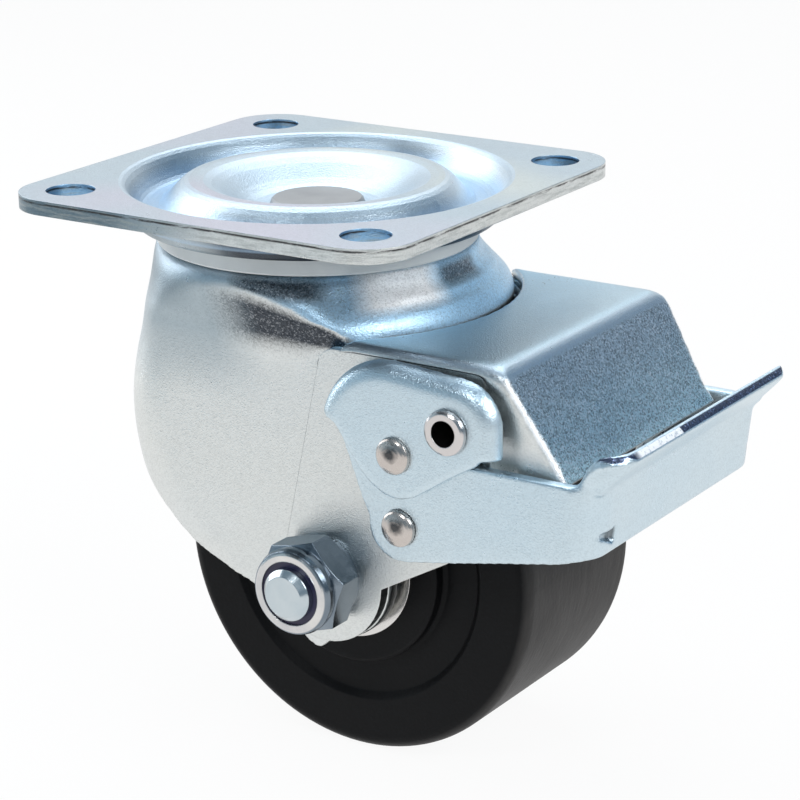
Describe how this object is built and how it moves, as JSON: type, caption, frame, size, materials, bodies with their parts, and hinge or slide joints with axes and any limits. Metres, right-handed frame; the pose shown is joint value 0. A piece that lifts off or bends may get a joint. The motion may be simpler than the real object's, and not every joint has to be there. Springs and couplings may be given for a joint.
{
  "type": "swivel castor",
  "caption": "Low-profile plate-mounted swivel castor with a wide black nylon wheel, a pressed steel fork and a pedal brake under a folded steel hood.",
  "frame": {"origin": "where the swivel axis meets the top (mounting) face of the plate", "axes": "+Z along the swivel axis, out of the mounting face; +X towards the brake pedal; +Y along the wheel axle, with the lock nut on the -Y side"},
  "size_m": [0.1547, 0.1036, 0.1282],
  "materials": {
    "zinc_sheet": "bright blue-white zinc plating",
    "zinc_cover": "bright zinc plating with a bluer tint",
    "zinc_fastener": "shiny zinc plating",
    "plain_steel": "plain machined steel",
    "kingpin_steel": "matte grey plated steel",
    "ball_steel": "polished",
    "seal_plastic": "ivory, satin",
    "nylon_wheel": "black, moulded",
    "brake_rubber": "matte",
    "insert_plastic": "dark violet",
    "rivet_steel": "domed, bright"
  },
  "bodies": {
    "mount": {"top_plate": "zinc_sheet", "kingpin": "kingpin_steel", "upper_race": "plain_steel", "upper_balls": "ball_steel", "lower_balls": "ball_steel", "lower_race": "plain_steel"},
    "swivel_fork": {"dust_seal": "seal_plastic", "fork": "zinc_sheet", "side_plate_near": "zinc_sheet", "side_plate_far": "zinc_sheet", "hood": "zinc_sheet", "cover_plate_near": "zinc_cover", "cover_plate_far": "zinc_cover", "cross_tube": "zinc_fastener", "guide_rivets": "rivet_steel", "pivot_rivets": "rivet_steel", "pivot_washers": "plain_steel", "return_spring": "plain_steel", "axle_bolt": "zinc_fastener", "axle_washers": "zinc_fastener", "lock_nut": "zinc_fastener", "nut_insert": "insert_plastic", "axle_sleeve": "plain_steel", "bearing_inner_rings": "ball_steel"},
    "wheel": {"wheel": "nylon_wheel", "bearing_outer_rings": "ball_steel", "bearing_balls": "ball_steel", "bearing_shields": "zinc_fastener"},
    "pedal": {"pedal": "zinc_cover", "drive_pins": "plain_steel"},
    "brake_lever": {"brake_lever": "plain_steel", "brake_pad": "brake_rubber"}
  },
  "joints": [
    {"name": "swivel", "type": "hinge", "parent": "mount", "child": "swivel_fork", "pos_m": [0, 0, 0], "axis": [0, 0, 1], "continuous": true},
    {"name": "wheel_spin", "type": "hinge", "parent": "swivel_fork", "child": "wheel", "pos_m": [0.02385, 0, -0.0818], "axis": [0, 1, 0], "continuous": true},
    {"name": "pedal_pivot", "type": "hinge", "parent": "swivel_fork", "child": "pedal", "pos_m": [0.0468, 0, -0.0649], "axis": [0, 1, 0], "range_deg": [0, 12]},
    {"name": "lever_pivot", "type": "hinge", "parent": "swivel_fork", "child": "brake_lever", "pos_m": [0.0609, 0, -0.0397], "axis": [0, 1, 0], "range_deg": [-9.6, 0]}
  ],
  "couplings": [
    {"joint": "lever_pivot", "follows": "pedal_pivot", "ratio": -0.8}
  ]
}
